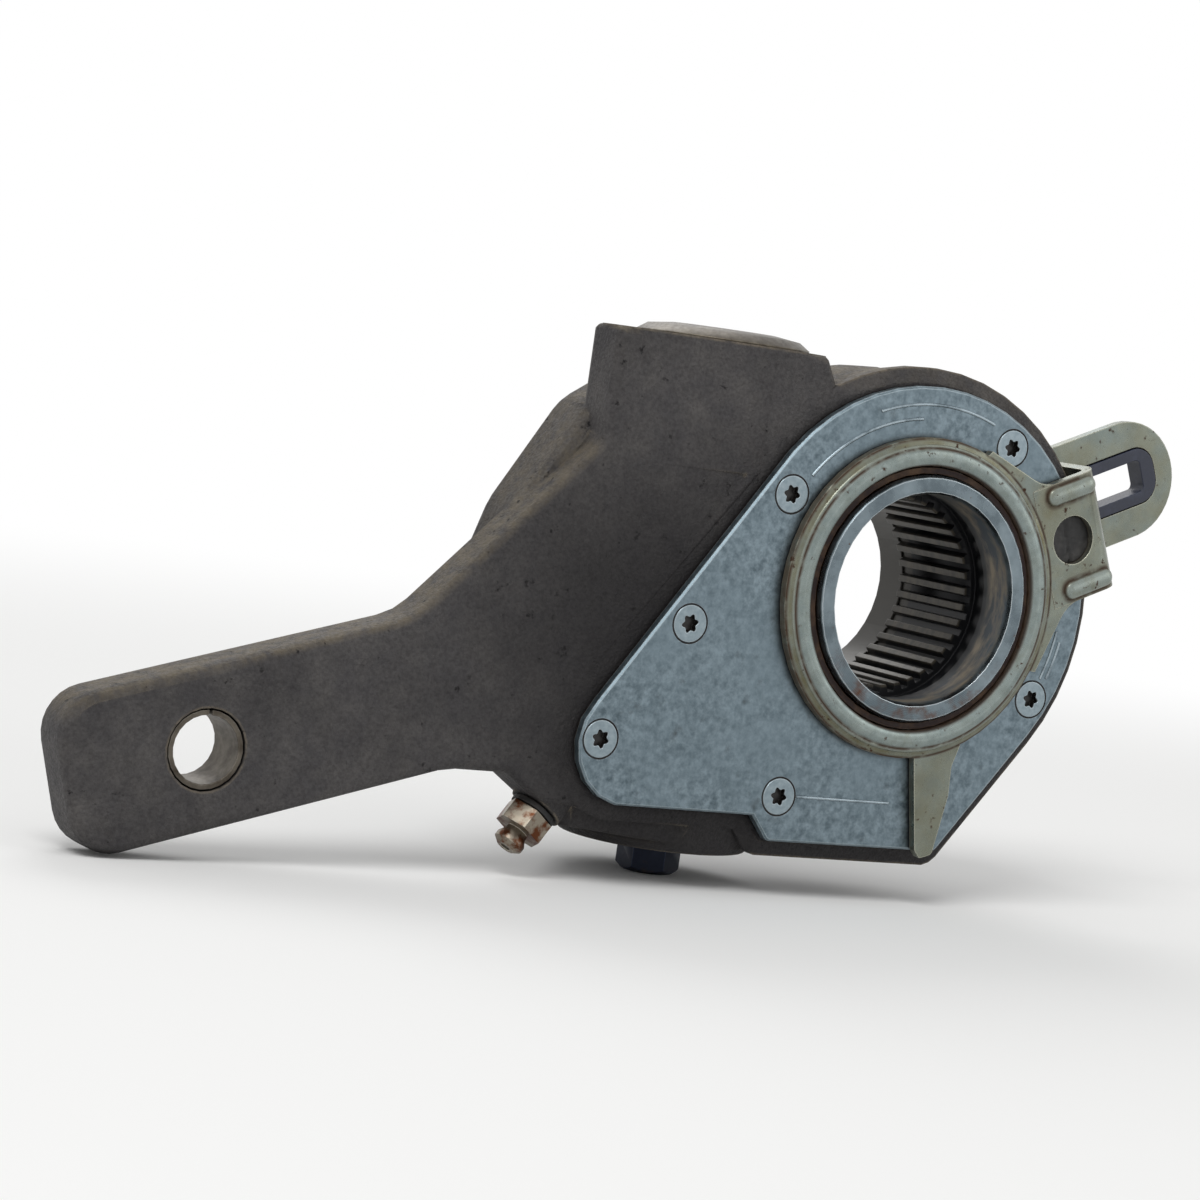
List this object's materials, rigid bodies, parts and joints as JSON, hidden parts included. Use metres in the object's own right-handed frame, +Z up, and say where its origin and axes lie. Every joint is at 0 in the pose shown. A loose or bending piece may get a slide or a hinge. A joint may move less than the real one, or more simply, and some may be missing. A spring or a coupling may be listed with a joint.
{
  "type": "brake slack adjuster",
  "caption": "Cast lever with a pin hole, a splined worm wheel turned by a hexagon-ended worm, and a slotted control arm that works the adjusting rack.",
  "frame": {"origin": "on the worm wheel's axis at the middle of the splined hub's width", "axes": "+X away from the lever, +Y through the hub from the cover plate to the back, +Z up along the worm's axis towards its end cap"},
  "size_m": [0.2532, 0.0483, 0.1096],
  "materials": {
    "cast_iron": "bare casting with a worn brown-grey coat",
    "zinc_plate": "dull bluish zinc plate",
    "zinc_yellow": "worn yellow zinc plate",
    "hub_steel": "machined and plated steel",
    "dark_steel": "dark blued steel",
    "bright_steel": "bright steel",
    "spring_steel": "oiled spring steel",
    "bronze": "bearing bronze",
    "rubber": "black rubber",
    "gasket_paper": "pressed gasket paper",
    "dark_nylon": "dark moulded nylon"
  },
  "bodies": {
    "body": {"housing": "cast_iron", "clevis_bush": "bright_steel", "cover_plate": "zinc_plate", "cover_gasket": "gasket_paper", "cover_screw_1": "bright_steel", "cover_screw_2": "bright_steel", "cover_screw_3": "bright_steel", "cover_screw_4": "bright_steel", "cover_screw_5": "bright_steel", "cover_screw_6": "bright_steel", "hub_seal_front": "rubber", "hub_seal_rear": "rubber", "end_cap": "bright_steel", "cap_o_ring": "rubber", "worm_spring": "spring_steel", "spring_seat": "bright_steel", "thrust_race_upper": "bright_steel", "thrust_cage": "bronze", "worm_bush": "bronze", "worm_seal": "rubber", "grease_fitting": "bright_steel", "fitting_washer": "rubber", "grease_ball": "bright_steel"},
    "wheel": {"worm_wheel": "hub_steel"},
    "worm": {"worm_shaft": "dark_steel", "thrust_race_lower": "bright_steel", "clutch_wheel": "bright_steel"},
    "arm": {"control_arm": "zinc_yellow", "slot_insert": "dark_nylon", "control_disc": "bright_steel"},
    "rack": {"control_rack": "dark_steel"},
    "pinion": {"control_pinion": "dark_steel", "clutch_spring": "spring_steel"}
  },
  "joints": [
    {"name": "wheel_spin", "type": "hinge", "parent": "body", "child": "wheel", "pos_m": [0, 0, 0], "axis": [0, 1, 0], "continuous": true},
    {"name": "worm_spin", "type": "hinge", "parent": "body", "child": "worm", "pos_m": [-0.0384, 0.005, 0], "axis": [0, 0, 1], "continuous": true},
    {"name": "control_arm_swing", "type": "hinge", "parent": "body", "child": "arm", "pos_m": [0, 0, 0], "axis": [0, 1, 0], "range_deg": [-15, 15]},
    {"name": "rack_slide", "type": "slide", "parent": "body", "child": "rack", "axis": [0, 0, 1], "range_m": [-0.00812, 0.00812]},
    {"name": "pinion_spin", "type": "hinge", "parent": "body", "child": "pinion", "pos_m": [-0.0384, 0.005, 0], "axis": [0, 0, 1], "range_deg": [-48, 48]}
  ],
  "couplings": [
    {"joint": "worm_spin", "follows": "wheel_spin", "ratio": -23},
    {"joint": "control_arm_swing", "follows": "rack_slide", "rad_per_m": 32.258},
    {"joint": "pinion_spin", "follows": "rack_slide", "rad_per_m": -94.34}
  ]
}
